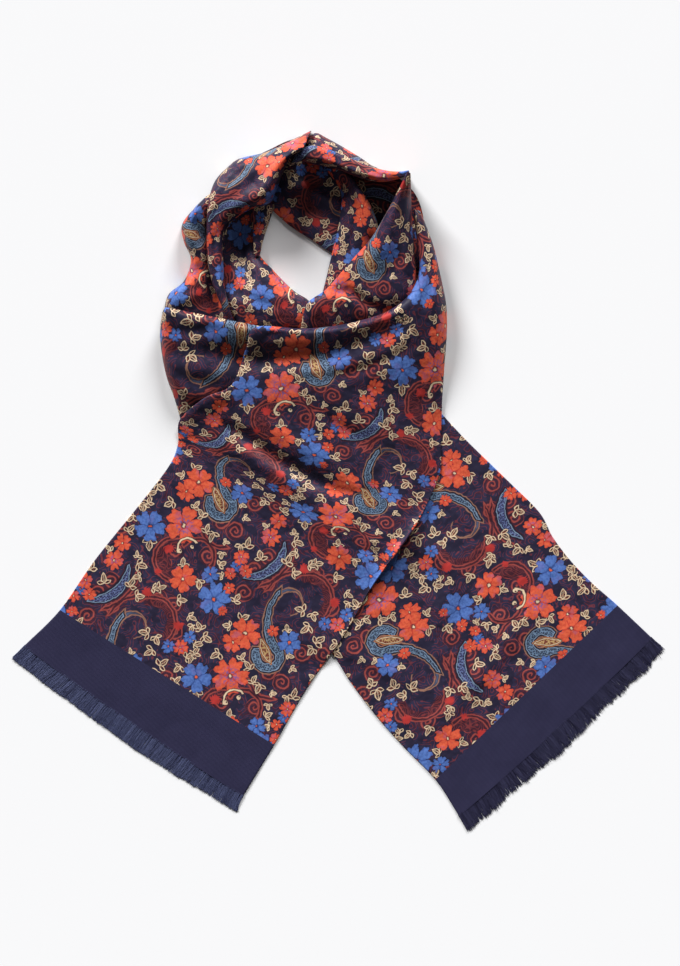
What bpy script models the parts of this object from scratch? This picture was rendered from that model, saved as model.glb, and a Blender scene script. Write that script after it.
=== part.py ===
"""Fringed silk scarf laid flat on a table, looped once as round a neck, its left tail crossed over its right.

The scarf is one long tube of printed silk twill, pressed flat, so every stretch of it is a double cloth. Each
end has a plain band and a fringe. The stretches that show are modelled as walls of cloth, laid one on another
in the order in which they lie. The layers that nothing shows are one rounded solid under the neck loop.
Lengths in this file are in millimetres. X is to the right, Y away from the tails, Z up from the table.
"""

import bpy
import numpy as np
from mathutils import Vector

MM = 0.001
CLOTH = 1.5  # thickness of the double cloth
GAP = 0.3  # between pieces at seams
LAID_GAP = 0.45  # under a piece laid on others, so that its facets clear theirs
TURN = 12.0  # radius in plan of an edge that turns down
TIGHTEST = 2.2  # radius of the tightest turn of an edge
EDGE_POINTS = (0, 0.13, 0.5)  # where a turned edge has its points, in turn radii from the very edge
EDGE_SHARE = 0.35  # most of a narrow stretch's width that one turned edge takes
END_BOW = 6.0  # how far the middle of a fringed end bows out
SHARP = 50.0  # edges sharper than this many degrees are not shaded smooth
CELL = 1.0  # pitch of the map that holds how high the laid pieces reach
REACH = 380.0  # the map covers this far each way from the origin
SETTLE_ROUNDS = 6

INK = (0.045, 0.040, 0.085)
PRINT = (0.14, 0.075, 0.10)
BAND = (0.033, 0.034, 0.080)
FRINGE = (0.075, 0.090, 0.150)

# Each row of a stretch is a section across it: the left edge (x, y), the height of the cloth there and how
# far it turns down at the very edge, the same for the right edge, and how far the middle rises between them.

RIGHT_STRIP = (
    # left x, y, height, turn; right x, y, height, turn; rise
    (130, -350, 1.5, 0, 326, -169, 1.5, 0, 0),  # fringe tips
    (121, -336, 1.5, 0, 314, -158, 1.5, 0, 0),  # end of the band
    (97, -299, 1.5, 0, 279, -125, 1.5, 0, 0),  # start of the print
    (63, -264, 1.5, 0, 254, -103, 1.5, 0, 0),
    (35, -232, 1.5, 0, 232, -80, 1.5, 0, 0),
    (11, -200, 1.5, 0, 214, -56, 1.5, 0, 0),
    (-5, -175, 1.5, 0, 201, -32, 1.5, 0, 0),
    (-38, -138, 1.5, 0, 169, 0, 1.5, 0, 0),
    (-74, -102, 1.5, 0, 128, 40, 1.5, 0, 0),
    (-110, -60, 1.5, 0, 102, 68, 1.5, 0, 0),
    (-155, 10, 1.5, 0, 79, 92, 1.5, 0, 0),
)
LEFT_STRIP = (
    (-326, -177, 1.5, 0, -105, -332, 1.5, 0, 0),  # fringe tips
    (-314, -166, 1.5, 0, -95, -316, 1.5, 0, 0),  # end of the band
    (-278, -130, 1.5, 0, -64, -265, 1.5, 0, 0),  # start of the print
    (-243, -80, 1.5, 0, -31, -208, 1.5, 0, 0),
    (-198, -24, 1.5, 0, 5, -157, 1.5, 0, 0),
    (-169, 14, 1.5, 0, 30, -112, 1.5, 0, 0),
    (-160, 36, 3, 1, 44, -91, 1.5, 0, 0.5),
    (-158, 60, 7, 3, 55, -76, 1.5, 0, 1),
    (-133, 82, 14, 2, 75, -48, 1.5, 0, 2),
    (-106, 95, 18, 2, 88, -25, 1.5, 0, 4),
    (-92, 130, 24, 2, 102, 8, 2, 0, 5),
    (-82, 152, 28, 5, 103, 40, 3, 1, 7),  # the left edge reaches the lip
    (-38, 151, 29, 12, 104, 75, 6, 4, 8),
    (-7, 153, 30, 12, 106, 108, 12, 10, 7),
    (26, 160, 30, 12, 108, 132, 16, 14, 6),
    (51, 169, 30, 10, 109, 155, 18, 16, 5),
    (71, 185, 29, 8, 108, 177, 20, 18, 4),
    (81, 208, 27, 10, 103, 202, 21, 19, 3),  # the lip ends and the right side goes on up
    (79, 235, 26, 10, 96, 232, 21, 16, 2),
    (76, 258, 24, 6, 87, 256, 21, 10, 1),
    (75, 270, 20, 2, 82, 268, 18, 3, 0),
)
BACK_INSIDE = (
    (-62, 300, 14, 0, -66, 270, 3, 1, -1),
    (-46, 325, 18, 0, -48, 254, 4, 2, -3),
    (-26, 320, 18, 0, -28, 241, 4, 2, -4),
    (-3, 308, 16, 0, -6, 227, 5, 2, -3),
    (12, 295, 10, 0, 7, 230, 4, 1, -1),
)
INNER_LEFT = (
    (-91, 273, 16, 0, -81, 276, 14, 0, 0),
    (-110, 253, 12, 0, -81, 257, 12, 0, -3),
    (-117, 230, 10, 0, -81, 230, 8, 5, -2),
    (-117, 208, 10, 0, -64, 209, 10, 8, 3),
    (-115, 190, 12, 0, -44, 189, 12, 10, 7),
    (-110, 174, 12, 0, -29, 179, 14, 11, 7),
    (-102, 158, 10, 0, -22, 162, 14, 4, 5),
    (-96, 142, 6, 0, -20, 142, 8, 0, 2),
)
INNER_RIDGE = (
    (-84, 292, 18, 4, -68, 289, 12, 4, 1),
    (-86, 277, 19, 6, -65, 272, 8, 6, 1),
    (-85, 265, 19, 6, -68, 260, 7, 5, 1),
    (-85, 245, 16, 5, -74, 242, 6, 4, 1),
    (-84, 224, 12, 4, -78, 224, 5, 3, 0),
)
INNER_STRAND = (
    (-13, 311, 18, 0, 7, 308, 16, 0, 1),
    (2, 290, 16, 4, 21, 292, 18, 4, 2),
    (3, 272, 14, 6, 34, 271, 18, 6, 3),
    (0, 252, 12, 7, 40, 252, 16, 6, 4),
    (-6, 227, 8, 6, 40, 230, 12, 2, 4),
    (-11, 205, 8, 6, 24, 205, 8, 0, 4),
    (-16, 185, 6, 4, 7, 185, 6, 0, 2),
)
LEFT_NECK = (
    (-135, 280, 14, 8, -123, 289, 8, 1, 1),
    (-145, 270, 24, 20, -126, 272, 14, 2, 3),
    (-156, 255, 24, 21, -128, 254, 13, 2, 4),
    (-154, 238, 20, 17, -128, 237, 12, 2, 3),
    (-147, 220, 17, 14, -127, 220, 12, 2, 2),
    (-154, 199, 20, 17, -124, 201, 12, 2, 3),
    (-169, 186, 23, 20, -119, 183, 11, 2, 4),
    (-173, 171, 21, 18, -112, 168, 10, 2, 4),
    (-169, 156, 14, 11, -106, 150, 8, 2, 2),
)
BACK_RIGHT_OUTER = (
    (-27, 349, 20, 16, -29, 338, 26, 0, 0),
    (-13, 343, 20, 17, -18, 332, 30, 0, 0),
    (5, 333, 22, 19, 3, 322, 32, 0, 0),
    (23, 322, 24, 20, 24, 313, 34, 0, 0),
    (38, 312, 26, 20, 42, 306, 35, 0, 0),
    (52, 307, 28, 14, 54, 304, 36, 0, 0),
)
BACK_RIGHT_COLLAR = (
    (-32, 340, 28, 2, -40, 320, 20, 4, 1),
    (-20, 334, 32, 3, -20, 310, 26, 8, 2),
    (2, 324, 34, 3, -1, 303, 28, 10, 3),
    (24, 314, 36, 3, 20, 294, 28, 12, 3),
    (44, 308, 38, 3, 42, 290, 30, 12, 3),
    (60, 306, 40, 3, 61, 294, 34, 10, 2),
    (70, 307, 42, 2, 71, 304, 40, 2, 0),
)
RIGHT_FLAP = (
    (69, 306, 40, 2, 72, 303, 38, 2, 0),
    (58, 285, 38, 4, 73, 281, 32, 10, 1),
    (47, 264, 34, 4, 74, 258, 28, 12, 2),
    (33, 241, 30, 4, 76, 231, 26, 12, 3),
    (12, 217, 26, 4, 78, 205, 24, 12, 4),
    (-11, 191, 22, 5, 76, 183, 22, 10, 5),
    (-29, 178, 20, 6, 62, 167, 16, 0, 6),
    (-35, 164, 18, 6, 47, 154, 12, 0, 4),
    (-38, 144, 10, 2, 27, 138, 8, 0, 2),
)
BACK_LEFT_COLLAR = (
    (-27, 349, 30, 14, -35, 328, 28, 6, 1),
    (-48, 339, 30, 24, -47, 323, 28, 8, 2),
    (-72, 328, 31, 27, -54, 308, 27, 8, 3),
    (-98, 320, 32, 28, -61, 290, 26, 12, 4),
    (-106, 311, 32, 28, -68, 276, 25, 12, 4),
    (-114, 301, 32, 28, -86, 270, 26, 10, 4),
    (-123, 289, 30, 20, -102, 261, 25, 10, 3),
    (-130, 270, 28, 14, -114, 248, 23, 10, 2),
    (-131, 245, 26, 12, -115, 230, 22, 10, 1),
    (-130, 218, 25, 10, -114, 210, 22, 10, 1),
    (-125, 195, 24, 10, -113, 191, 22, 10, 1),
    (-118, 178, 22, 8, -109, 176, 21, 8, 0),
    (-110, 158, 16, 4, -104, 158, 16, 4, 0),
)
LEFT_SHOULDER = (
    (-172, 172, 22, 18, -76, 153, 12, 0, 3),
    (-175, 167, 25, 21, -76, 149, 22, 0, 4),
    (-178, 148, 26, 23, -83, 135, 20, 0, 5),
    (-176, 125, 24, 21, -88, 115, 16, 0, 5),
    (-171, 102, 19, 16, -95, 92, 12, 0, 4),
    (-163, 80, 12, 9, -113, 75, 8, 0, 2),
    (-156, 55, 3, 1, -133, 55, 3, 0, 0),
)

# The hidden layers: centre of the bundle (x, y), half of its width and its height, on round the neck loop.
BUNDLE = (
    (-38, 102, 42, 12),
    (-103, 125, 42, 13),
    (-126, 170, 34, 11),
    (-125, 218, 18, 10),
    (-116, 258, 24, 12),
    (-93, 293, 24, 14),
    (-53, 315, 16, 12),
    (-18, 317, 12, 12),
    (22, 296, 16, 9),
    (54, 274, 21, 9),
    (67, 235, 19, 12),
    (67, 185, 30, 14),
    (32, 135, 42, 14),
)

# The largest folds: how deep the trough is, how wide, and the line that it follows.
FOLDS = {
    "under the front roll": (
        6.0,
        11.0,
        ((-180, 128), (-123, 125), (-92, 120), (-48, 122), (-8, 126), (45, 145), (70, 162)),
    ),
    "across the front": (3.0, 8.0, ((-113, 66), (-72, 32), (-8, 0))),
}


def through(rows, steps, closed=False):
    """The rows again, with steps of a smooth curve between each row and the next."""
    rows = np.array(rows, float)
    if closed:
        rows = np.vstack([rows[-1:], rows, rows[:2]])
    else:
        rows = np.vstack([2 * rows[0] - rows[1], rows, 2 * rows[-1] - rows[-2]])
    out = []
    for before, start, end, after in zip(rows, rows[1:], rows[2:], rows[3:]):
        for u in np.arange(steps) / steps:
            pull = (end - before) / 2 * (u - 2 * u**2 + u**3) + (after - start) / 2 * (u**3 - u**2)
            out.append(start * (1 - 3 * u**2 + 2 * u**3) + end * (3 * u**2 - 2 * u**3) + pull)
    return np.array(out if closed else out + [rows[-2]])


def trough(x, y, depth, width, line):
    """How much a fold lowers the cloth at x and y: depth on its line, fading over its width."""
    line = through(line, 4)
    away = np.min([np.hypot(x - px, y - py) for px, py in line], axis=0)
    return depth * np.exp(-((away / width) ** 2))


def stretch(rows, steps, cells, folds=()):
    """The upper face of a stretch: a grid of points, cells wide between its turned edges."""
    grid = []
    for lx, ly, lz, lturn, rx, ry, rz, rturn, rise in through(rows, steps):
        left, right = np.array((lx, ly)), np.array((rx, ry))
        width = np.linalg.norm(right - left)
        turn = min(TURN, EDGE_SHARE * width)
        lturn, rturn = np.minimum((lturn, rturn), turn**2 / TIGHTEST)
        edge = turn * np.array(EDGE_POINTS)
        away = np.concatenate([edge, np.linspace(turn, width - turn, cells + 1), width - edge[::-1]])
        t = away / width
        high = lz + (rz - lz) * t + rise * 4 * t * (1 - t)
        for d, drop in ((away, lturn), (width - away, rturn)):
            high -= drop * (1 - np.sqrt(1 - np.clip(1 - d / turn, 0, 1) ** 2))
        flat = left + (right - left) * t[:, None]
        for fold in folds:
            high -= trough(flat[:, 0], flat[:, 1], *FOLDS[fold])
        grid.append(np.column_stack([flat, np.maximum(high, CLOTH)]))
    return np.array(grid)


def under_face(top):
    """The lower face of a wall of cloth whose upper face is top."""
    along, across = np.gradient(top, axis=0), np.gradient(top, axis=1)
    out = np.cross(across, along)
    out /= np.linalg.norm(out, axis=2, keepdims=True)
    out *= np.sign(out[..., 2:])
    return top - out * CLOTH


def filled(grid, n=6):
    """Points spread over each cell of a grid, in an array by cell."""
    u = np.linspace(0, 1, n)[:, None, None, None, None]
    v = np.linspace(0, 1, n)[None, :, None, None, None]
    a, b, c, d = grid[:-1, :-1], grid[1:, :-1], grid[:-1, 1:], grid[1:, 1:]
    return (a * (1 - u) + b * u) * (1 - v) + (c * (1 - u) + d * u) * v


laid = np.zeros((int(2 * REACH / CELL),) * 2)  # how high what is laid reaches, by place


def place(points):
    return tuple(((points[..., k] + REACH) / CELL).astype(int) for k in (0, 1))


def settle(top):
    """Lifts a stretch just clear of all that is laid under it."""
    shifts = [(i, j) for i in (-1, 0, 1) for j in (-1, 0, 1)]
    near = np.max([np.roll(laid, shift, (0, 1)) for shift in shifts], axis=0)
    for _ in range(SETTLE_ROUNDS):
        under = filled(under_face(top))
        ground = near[place(under)]
        need = np.where(ground > 0, ground + LAID_GAP, 0) - under[..., 2]
        cell = np.maximum(need.max(axis=(0, 1)), 0)
        if cell.max() < 0.01:
            break
        lift = np.zeros(top.shape[:2])
        for i in (0, 1):
            for j in (0, 1):
                corner = lift[i : i + cell.shape[0], j : j + cell.shape[1]]
                np.maximum(corner, cell, out=corner)
        top[..., 2] += lift
    np.maximum.at(laid, place(filled(top)), filled(top)[..., 2])
    return top


def material(name, colour, roughness):
    m = bpy.data.materials.new(name)
    m.use_nodes = True
    shader = m.node_tree.nodes["Principled BSDF"]
    shader.inputs["Base Color"].default_value = (*colour, 1)
    shader.inputs["Roughness"].default_value = roughness
    return m


def solid(name, points, faces, finish):
    mesh = bpy.data.meshes.new(name)
    mesh.from_pydata([Vector(p) * MM for p in points], [], faces)
    mesh.materials.append(finish)
    mesh.shade_smooth()
    mesh.set_sharp_from_angle(angle=np.radians(SHARP))
    bpy.context.scene.collection.objects.link(bpy.data.objects.new(name, mesh))


def facing_up(faces, top):
    """The faces of a solid, turned over where its grid runs the other way."""
    turn = np.cross(top[:-1, 1:] - top[:-1, :-1], top[1:, :-1] - top[:-1, :-1])[..., 2]
    return faces if turn.sum() > 0 else [f[::-1] for f in faces]


def wall(name, top, finish):
    """A closed wall of cloth under a grid of points."""
    n, m = top.shape[:2]
    points = np.concatenate([top.reshape(-1, 3), under_face(top).reshape(-1, 3)])
    faces = []
    for i in range(n - 1):
        for j in range(m - 1):
            a = i * m + j
            faces += [(a, a + 1, a + m + 1, a + m)]
            faces += [tuple(n * m + k for k in (a, a + m, a + m + 1, a + 1))]
    rim = list(range(m)) + [i * m + m - 1 for i in range(1, n)]
    rim += [(n - 1) * m + j for j in range(m - 2, -1, -1)] + [i * m for i in range(n - 2, 0, -1)]
    for a, b in zip(rim, rim[1:] + rim[:1]):
        faces.append((b, a, n * m + a, n * m + b))
    solid(name, points, facing_up(faces, top), finish)


def cut(top, first, last):
    """The rows of a strip from first to last, short of each cut by half a gap."""
    part = top[first : last + 1].copy()
    for end, inner in ((0, 1), (-1, -2)):
        along = part[inner] - part[end]
        part[end] += along / np.linalg.norm(along, axis=1, keepdims=True) * GAP / 2
    return part


def bundle(name, finish, steps=3, cells=8):
    """The hidden layers: a flat-bottomed ring of rounded section."""
    ring = through(BUNDLE, steps, closed=True)
    ahead = np.roll(ring[:, :2], -1, axis=0) - np.roll(ring[:, :2], 1, axis=0)
    side = np.column_stack([ahead[:, 1], -ahead[:, 0]]) / np.linalg.norm(ahead, axis=1)[:, None]
    q = -np.cos(np.pi * np.arange(cells + 1) / cells)
    flat = ring[:, None, :2] + side[:, None] * q[None, :, None] * ring[:, None, 2:3]
    top = np.dstack([flat, ring[:, 3:] * np.sqrt(1 - q**2)])
    top = np.concatenate([top, top[:1]])
    np.maximum.at(laid, place(filled(top)), filled(top)[..., 2])
    n, m = len(ring), cells + 1
    loop = [(i, (i + 1) % n) for i in range(n)]
    faces = [(i * m + j, i * m + j + 1, k * m + j + 1, k * m + j) for i, k in loop for j in range(cells)]
    faces += [(i * m, k * m, k * m + cells, i * m + cells) for i, k in loop]
    solid(name, top[:-1].reshape(-1, 3), facing_up(faces, top), finish)


def strip(side, rows, steps, cells, folds, looks):
    """A strip from its fringe up: the fringe, the plain band and the printed cloth."""
    top = stretch(rows, steps, cells, folds)
    out = top[0] - top[steps]
    t = np.linspace(0, 1, top.shape[1])[:, None]
    for row in range(steps):
        top[row] += out / np.linalg.norm(out, axis=1)[:, None] * 4 * t * (1 - t) * END_BOW * (1 - row / steps)
    settle(top)
    wall(side + "_fringe", cut(top, 0, steps), looks["fringe"])
    wall(side + "_band", cut(top, steps, 2 * steps), looks["band"])
    wall(side + "_tail", cut(top, 2 * steps, len(top) - 1), looks["print"])


for thing in list(bpy.data.objects):
    bpy.data.objects.remove(thing)

looks = {
    "print": material("printed silk twill", PRINT, 0.5),
    "hidden": material("printed silk in shade", INK, 0.6),
    "band": material("plain navy band", BAND, 0.45),
    "fringe": material("silk fringe", FRINGE, 0.6),
}

strip("right", RIGHT_STRIP, 1, 6, (), looks)
bundle("hidden_layers", looks["hidden"])
for name, rows in (
    ("back_inside", BACK_INSIDE),
    ("inner_left_cowl", INNER_LEFT),
    ("inner_left_ridge", INNER_RIDGE),
    ("inner_right_strand", INNER_STRAND),
    ("left_neck", LEFT_NECK),
    ("back_right_outer", BACK_RIGHT_OUTER),
    ("back_right_collar", BACK_RIGHT_COLLAR),
    ("right_flap", RIGHT_FLAP),
    ("back_left_collar", BACK_LEFT_COLLAR),
):
    wall(name, settle(stretch(rows, 2, 3)), looks["print"])
wall("left_shoulder", settle(stretch(LEFT_SHOULDER, 2, 6, ["under the front roll"])), looks["print"])
strip("left", LEFT_STRIP, 2, 9, FOLDS, looks)
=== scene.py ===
"""A fringed silk scarf, looped once as round a neck and laid flat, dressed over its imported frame.

The cloth is made in the order in which it lies: the right tail, the hidden layers under the neck loop, the
stretches that show inside and behind the loop, and the left tail that crosses over all of them.
Lengths are in millimetres. X is to the right, Y away from the tails and Z up from the table.
"""

import bpy
import numpy as np
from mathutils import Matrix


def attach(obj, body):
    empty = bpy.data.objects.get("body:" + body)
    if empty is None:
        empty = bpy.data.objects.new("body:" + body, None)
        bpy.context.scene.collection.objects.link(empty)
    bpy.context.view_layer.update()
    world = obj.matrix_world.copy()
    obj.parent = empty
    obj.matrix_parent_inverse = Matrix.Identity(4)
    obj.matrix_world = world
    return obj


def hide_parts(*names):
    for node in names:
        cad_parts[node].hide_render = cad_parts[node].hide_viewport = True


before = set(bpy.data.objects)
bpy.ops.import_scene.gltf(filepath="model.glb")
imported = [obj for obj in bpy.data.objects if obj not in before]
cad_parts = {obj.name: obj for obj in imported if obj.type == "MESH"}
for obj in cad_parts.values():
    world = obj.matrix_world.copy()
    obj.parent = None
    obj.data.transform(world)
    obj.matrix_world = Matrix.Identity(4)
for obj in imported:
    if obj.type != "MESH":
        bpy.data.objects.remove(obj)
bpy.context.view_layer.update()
bpy.ops.object.select_all(action="DESELECT")

# ------------------------------
# The right tail. It is the lower end of the scarf: a tube of silk twill pressed flat, so the cloth is double,
# with a fold at each selvedge. The print is a half-drop of paisleys and flowers on navy, and ends in a
# straight line at the plain band.

MM = 0.001
CLOTH = 1.0  # thickness of the two layers pressed together
PITCH = 2.5  # of the points over the cloth
FINE = 24  # steps of the smooth curve between two rows of a table
BEND = 12.0  # widest bend at the edge of a stretch
TIGHTEST = 2.2  # radius that no bend is tighter than
RIPPLE = 0.3  # height of the faint waves all over the cloth
EDGE = np.array((0, 0.03, 0.08, 0.16, 0.27, 0.4, 0.56, 0.75))  # where the points lie across a bend
CELL = 1.0  # pitch of the map of how high the laid cloth reaches
REACH = 380.0  # the map covers this far each way from the origin
CLEAR = 0.25  # left between the cloth and what it lies on
EASE = 3  # points on each side over which cloth eases down from what lifts it
SELVEDGE = 1.2  # how far in from a fold the cloth is rounded
SHARPEST = 60  # angle in degrees past which the cloth is shaded as a crease

laid = np.zeros((int(2 * REACH / CELL),) * 2)


def through(rows, steps):
    """The rows again, with steps of a smooth curve between each row and the next."""
    rows = np.array(rows, float)
    rows = np.vstack([2 * rows[0] - rows[1], rows, 2 * rows[-1] - rows[-2]])
    out = []
    for before, start, end, after in zip(rows, rows[1:], rows[2:], rows[3:]):
        for u in np.arange(steps) / steps:
            pull = (end - before) / 2 * (u - 2 * u**2 + u**3) + (after - start) / 2 * (u**3 - u**2)
            out.append(start * (1 - 3 * u**2 + 2 * u**3) + end * (3 * u**2 - 2 * u**3) + pull)
    return np.array(out + [rows[-2]])


def measured(rows):
    """Sections on a smooth curve through the rows, and how far each is along the middle of the stretch."""
    fine = through(rows, FINE)
    middle = (fine[:, 0:2] + fine[:, 4:6]) / 2
    return fine, np.concatenate([[0], np.cumsum(np.linalg.norm(np.diff(middle, axis=0), axis=1))])


def evenly(rows):
    """Sections through the rows, about a pitch apart along the middle of the stretch."""
    fine, far = measured(rows)
    stops = np.linspace(0, far[-1], int(far[-1] / PITCH) + 1)
    return np.column_stack([np.interp(stops, far, column) for column in fine.T])


def along(rows, k):
    """Which even section is nearest to row k."""
    _, far = measured(rows)
    return int(round(far[FINE * k] / far[-1] * int(far[-1] / PITCH)))


def crease(flat, depth, width, *line):
    """How much a crease lowers the cloth: depth on its line, fading over its width and towards its ends."""
    line = through(line, 8)
    away = np.linalg.norm(flat[:, None] - line[None], axis=2)
    near = away.argmin(axis=1)
    fade = np.sin(np.pi * (near + 0.5) / len(line)) ** 0.6
    return depth * fade * np.exp(-((away.min(axis=1) / width) ** 2))


def stretch(rows, creases):
    """The upper face of a stretch of cloth, as a grid of points.

    Each row of its table is a section: the left edge's x, y and height, how far the edge turns down, the
    same for the right edge, and the rise between them. A crease has a depth (less than 0 for a ridge), a
    width, and the points that it runs through.
    """
    rows = evenly(rows)
    widest = np.linalg.norm(rows[:, 4:6] - rows[:, 0:2], axis=1).max()
    cells = max(4, int(widest / PITCH) - len(EDGE))
    grid = []
    for lx, ly, lz, lturn, rx, ry, rz, rturn, rise in rows[:, :9]:
        left, right = np.array((lx, ly)), np.array((rx, ry))
        width = np.linalg.norm(right - left)
        bend = min(BEND, 0.35 * width)
        lturn, rturn = np.minimum((lturn, rturn), bend**2 / TIGHTEST)
        between = np.linspace(bend, width - bend, cells + 1)
        away = np.concatenate([bend * EDGE, between, width - bend * EDGE[::-1]])
        t = away / width
        high = lz + (rz - lz) * t + rise * 4 * t * (1 - t)
        for d, drop in ((away, lturn), (width - away, rturn)):
            high -= drop * (1 - np.sqrt(1 - np.clip(1 - d / bend, 0, 1) ** 2))
        flat = left + (right - left) * t[:, None]
        for line in creases:
            high -= crease(flat, *line)
        x, y = flat.T
        high += RIPPLE * (np.sin(x / 17 + y / 31) * np.cos(y / 13 - x / 37) + np.sin((x - y) / 23) / 2)
        inside = np.clip(np.minimum(away, width - away) / bend, 0, 1)
        high = np.maximum(high, CLOTH + RIPPLE * inside * (1 + np.sin(x / 21) * np.sin(y / 19)))
        for d in (away, width - away):
            high -= 0.5 * CLOTH * (1 - np.sqrt(1 - np.clip(1 - d / SELVEDGE, 0, 1) ** 2))
        grid.append(np.column_stack([flat, np.maximum(high, 0.5 * CLOTH)]))
    return np.array(grid)


def under_face(top):
    """The lower face of cloth whose upper face is top."""
    out = np.cross(np.gradient(top, axis=1), np.gradient(top, axis=0))
    out /= np.linalg.norm(out, axis=2, keepdims=True)
    out *= np.sign(out[..., 2:])
    return top - out * CLOTH


def filled(grid, n=4):
    """Points spread over each cell of a grid, in an array by cell."""
    u = np.linspace(0, 1, n)[:, None, None, None, None]
    v = np.linspace(0, 1, n)[None, :, None, None, None]
    a, b, c, d = grid[:-1, :-1], grid[1:, :-1], grid[:-1, 1:], grid[1:, 1:]
    return (a * (1 - u) + b * u) * (1 - v) + (c * (1 - u) + d * u) * v


def place(points):
    """The cells of the height map that points fall in."""
    return tuple(((points[..., k] + REACH) / CELL).astype(int) for k in (0, 1))


def spread(field, n, how):
    """A field with each value set from those within n points of it."""
    padded = np.pad(field, n, mode="edge")
    rows, columns = field.shape
    windows = [padded[i : i + rows, j : j + columns] for i in range(2 * n + 1) for j in range(2 * n + 1)]
    return how(windows, axis=0)


def settle(top):
    """Lifts cloth just clear of all that is laid under it, easing down beyond it."""
    shifts = [(i, j) for i in (-1, 0, 1) for j in (-1, 0, 1)]
    near = np.max([np.roll(laid, shift, (0, 1)) for shift in shifts], axis=0)
    for ease in (EASE, EASE, 1, 1, 0):
        under = filled(under_face(top))
        ground = near[place(under)]
        need = np.where(ground > 0, ground + CLEAR, 0) - under[..., 2]
        cell = np.maximum(need.max(axis=(0, 1)), 0)
        lift = np.zeros(top.shape[:2])
        for i in (0, 1):
            for j in (0, 1):
                corner = lift[i : i + cell.shape[0], j : j + cell.shape[1]]
                np.maximum(corner, cell, out=corner)
        if ease:
            lift = spread(spread(lift, ease, np.max), ease, np.mean)
        top[..., 2] += lift
    np.maximum.at(laid, place(filled(top)), filled(top)[..., 2])
    return top


def printed(top, at, motif, turn, scale=(1, 1), slip=0):
    """Where each point lies on the print, which shows its point motif at a place and is turned there."""
    steps = np.diff(top, axis=1)
    long, short = np.linalg.norm(steps, axis=2), np.linalg.norm(steps[..., :2], axis=2)
    spare = np.cumsum(np.pad(long - short, ((0, 0), (1, 0))), axis=1)
    spare -= spare[:, spare.shape[1] // 2, None]
    row = top[:, -1, :2] - top[:, 0, :2]
    row /= np.linalg.norm(row, axis=1, keepdims=True)
    flat = top[..., :2] + spare[..., None] * row[:, None] - np.array(at)
    c, s = np.cos(np.radians(turn)), np.sin(np.radians(turn))
    chart = np.dstack([(flat @ (c, s)) * scale[0], (flat @ (-s, c)) * scale[1]])
    return chart + motif + slip


def charted(mesh, name, chart):
    """Gives a mesh a chart, from a place for each of its points."""
    corner = np.zeros(len(mesh.loops), int)
    mesh.loops.foreach_get("vertex_index", corner)
    mesh.uv_layers.new(name=name).data.foreach_set("uv", chart.reshape(-1, 2)[corner].ravel())


def sheet_of(name, top, chart, finish):
    """A thin shell of cloth with its upper face on a grid of points."""
    rows, columns = top.shape[:2]
    bpy.ops.mesh.primitive_grid_add(x_subdivisions=columns - 1, y_subdivisions=rows - 1, size=1)
    piece = bpy.context.object
    piece.name = piece.data.name = name
    mesh = piece.data
    mesh.vertices.foreach_set("co", (top.reshape(-1, 3) * MM).ravel())
    mesh.uv_layers.remove(mesh.uv_layers[0])
    charted(mesh, "cloth", chart)
    mesh.update()
    if np.mean([face.normal.z for face in mesh.polygons]) < 0:
        mesh.flip_normals()
    thicken = piece.modifiers.new("second layer", "SOLIDIFY")
    thicken.thickness = CLOTH * MM
    thicken.offset = -1
    bpy.ops.object.modifier_apply(modifier=thicken.name)
    bpy.ops.object.shade_smooth_by_angle(angle=np.radians(SHARPEST))
    mesh.materials.append(finish)
    piece.select_set(False)
    return piece


class Wire:
    """A socket of a material in the making. Sums on it add Math nodes, and node adds any other node."""

    def __init__(self, tree, socket):
        self.tree, self.socket = tree, socket

    def node(self, kind, settings, inputs, output=0):
        made = self.tree.nodes.new("ShaderNode" + kind)
        for name, value in settings.items():
            setattr(made, name, value)
        for name, value in inputs.items():
            if isinstance(value, Wire):
                self.tree.links.new(value.socket, made.inputs[name])
            else:
                made.inputs[name].default_value = value
        return Wire(self.tree, made.outputs[output])

    def math(self, operation, *others, **settings):
        return self.node("Math", {"operation": operation, **settings}, dict(enumerate((self, *others))))

    def vector(self, operation, *others, output=0):
        return self.node("VectorMath", {"operation": operation}, dict(enumerate((self, *others))), output)

    def __add__(self, other):
        return self.math("ADD", other)

    def __sub__(self, other):
        return self.math("SUBTRACT", other)

    def __rsub__(self, other):
        return (self * -1).math("ADD", other)

    def __mul__(self, other):
        return self.math("MULTIPLY", other)

    def __truediv__(self, other):
        return self.math("DIVIDE", other)

    def __abs__(self):
        return self.math("ABSOLUTE")

    __radd__, __rmul__ = __add__, __mul__

    def least(self, *others):
        out = self
        for other in others:
            out = out.math("MINIMUM", other)
        return out

    def most(self, *others):
        out = self
        for other in others:
            out = out.math("MAXIMUM", other)
        return out

    def inside(self, edge=0.0, soft=0.7):
        """1 where this distance is less than edge, 0 past it, and soft between."""
        return self.math("MULTIPLY_ADD", -1 / soft, edge / soft + 0.5, use_clamp=True)

    def from_point(self, u, v):
        return self.vector("DISTANCE", (u, v, 0), output=1)

    def under(self, mask, colour):
        """This colour, with another over it where mask is 1."""
        inputs = {0: mask, 6: self, 7: colour if isinstance(colour, Wire) else (*colour, 1)}
        return self.node("Mix", {"data_type": "RGBA"}, inputs, 2)

    def parts(self):
        split = self.node("SeparateXYZ", {}, {0: self})
        return [Wire(self.tree, split.socket.node.outputs[k]) for k in (0, 1, 2)]


HALF_ACROSS = 120.0  # the print's half-drop: from each column of motifs to the next
DROP = 103.0
TILE = (-14.0, -43.0)  # the corner of the column of cloth that the motifs are charted in

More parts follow.
